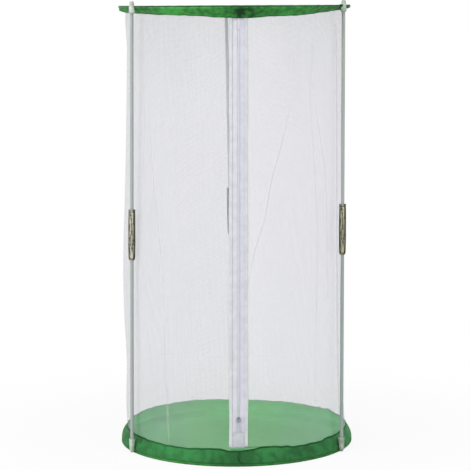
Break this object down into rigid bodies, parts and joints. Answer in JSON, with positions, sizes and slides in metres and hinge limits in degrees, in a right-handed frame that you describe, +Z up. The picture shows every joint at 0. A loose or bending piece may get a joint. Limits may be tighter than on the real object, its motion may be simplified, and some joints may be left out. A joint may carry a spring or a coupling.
{
  "type": "insect cage",
  "caption": "Tall round netting cage with green cloth floor and rim, a zipped front strip, and jointed rods standing in sewn pockets outside the net.",
  "frame": {"origin": "centre of the floor panel's underside, on the ground", "axes": "+Z up the cage; -Y towards the zipped front; +X to the right seen from the front"},
  "size_m": [0.614, 0.6281, 1.1641],
  "materials": {
    "green_fabric": "woven nylon cloth, matte with a soft sheen, lightly creased",
    "dark_green_binding": "folded woven tape, matte",
    "white_netting": "fine knitted polyester net, half see-through",
    "white_tape": "tightly woven zip tape, matte",
    "white_webbing": "ribbed woven tape, stitched at its edges",
    "zipper_coil": "satin nylon coil",
    "zipper_metal": "pressed bare metal",
    "slider_metal": "cast metal, satin",
    "fibreglass": "pultruded glass rod, satin, with fine lengthwise strands",
    "crimped_steel": "plated steel tube, scratched lengthwise and mottled",
    "spring_steel": "drawn wire"
  },
  "bodies": {
    "base": {"floor_panel": "green_fabric", "base_casing": "green_fabric", "base_band": "green_fabric", "base_binding": "dark_green_binding", "net_left": "white_netting", "net_right": "white_netting", "zipper_tape_left": "white_tape", "zipper_tape_right": "white_tape", "strip_binding_left": "white_webbing", "strip_binding_right": "white_webbing", "end_patch": "white_webbing", "foot_pocket_left": "white_webbing", "foot_pocket_right": "white_webbing", "foot_pocket_rear": "white_webbing", "zipper_teeth_left": "zipper_coil", "zipper_teeth_right": "zipper_coil", "bottom_stop": "zipper_metal", "base_hoop": "spring_steel"},
    "top": {"top_panel": "green_fabric", "top_hoop": "spring_steel", "top_casing": "green_fabric", "top_band": "green_fabric", "top_stop_left": "zipper_metal", "top_stop_right": "zipper_metal", "top_pocket_left": "white_webbing", "top_pocket_right": "white_webbing", "top_pocket_rear": "white_webbing"},
    "slider": {"slider_body": "slider_metal"},
    "pull_tab": {"pull_tab": "slider_metal"},
    "pole_left": {"lower_rod_left": "fibreglass", "ferrule_left": "crimped_steel"},
    "pole_top_left": {"upper_rod_left": "fibreglass"},
    "pole_right": {"lower_rod_right": "fibreglass", "ferrule_right": "crimped_steel"},
    "pole_top_right": {"upper_rod_right": "fibreglass"},
    "pole_rear": {"lower_rod_rear": "fibreglass", "ferrule_rear": "crimped_steel"},
    "pole_top_rear": {"upper_rod_rear": "fibreglass"}
  },
  "joints": [
    {"name": "cage_collapse", "type": "slide", "parent": "base", "child": "top", "axis": [0, 0, 1], "range_m": [-0.965, 0], "deforming": ["net_left", "net_right", "zipper_tape_left", "zipper_tape_right", "strip_binding_left", "strip_binding_right", "zipper_teeth_left", "zipper_teeth_right", "top_pocket_left", "top_pocket_right", "top_pocket_rear"]},
    {"name": "zipper_slide", "type": "slide", "parent": "base", "child": "slider", "axis": [0.0046, 0.0117, 0.9999], "range_m": [0, 0.965]},
    {"name": "pull_tab_swing", "type": "hinge", "parent": "slider", "child": "pull_tab", "pos_m": [0.005, -0.29461, 0.11756], "axis": [-0.9998, -0.017, 0.0048], "range_deg": [0, 170]},
    {"name": "pole_left_tilt", "type": "hinge", "parent": "base", "child": "pole_left", "pos_m": [-0.27522, -0.1589, 0.00502], "axis": [0.4999, -0.8659, -0.0153], "range_deg": [0, 90], "deforming": ["foot_pocket_left"]},
    {"name": "rod_left_pull", "type": "slide", "parent": "pole_left", "child": "pole_top_left", "axis": [0.0115, -0.011, 0.9999], "range_m": [0, 0.07]},
    {"name": "pole_right_tilt", "type": "hinge", "parent": "base", "child": "pole_right", "pos_m": [0.27522, -0.1589, 0.00502], "axis": [0.4999, 0.8659, -0.0153], "range_deg": [0, 90], "deforming": ["foot_pocket_right"]},
    {"name": "rod_right_pull", "type": "slide", "parent": "pole_right", "child": "pole_top_right", "axis": [0.0038, 0.0155, 0.9999], "range_m": [0, 0.07]},
    {"name": "pole_rear_tilt", "type": "hinge", "parent": "base", "child": "pole_rear", "pos_m": [-0.00555, 0.31775, 0.00502], "axis": [-0.9997, -0.0174, -0.0155], "range_deg": [0, 90], "deforming": ["foot_pocket_rear"]},
    {"name": "rod_rear_pull", "type": "slide", "parent": "pole_rear", "child": "pole_top_rear", "axis": [-0.0154, -0.0055, 0.9999], "range_m": [0, 0.07]}
  ],
  "couplings": [
    {"joint": "pole_left_tilt", "follows": "cage_collapse", "rad_per_m": -1.62},
    {"joint": "rod_left_pull", "follows": "cage_collapse", "ratio": -0.07},
    {"joint": "pole_right_tilt", "follows": "cage_collapse", "rad_per_m": -1.62},
    {"joint": "rod_right_pull", "follows": "cage_collapse", "ratio": -0.07},
    {"joint": "pole_rear_tilt", "follows": "cage_collapse", "rad_per_m": -1.62},
    {"joint": "rod_rear_pull", "follows": "cage_collapse", "ratio": -0.07}
  ]
}
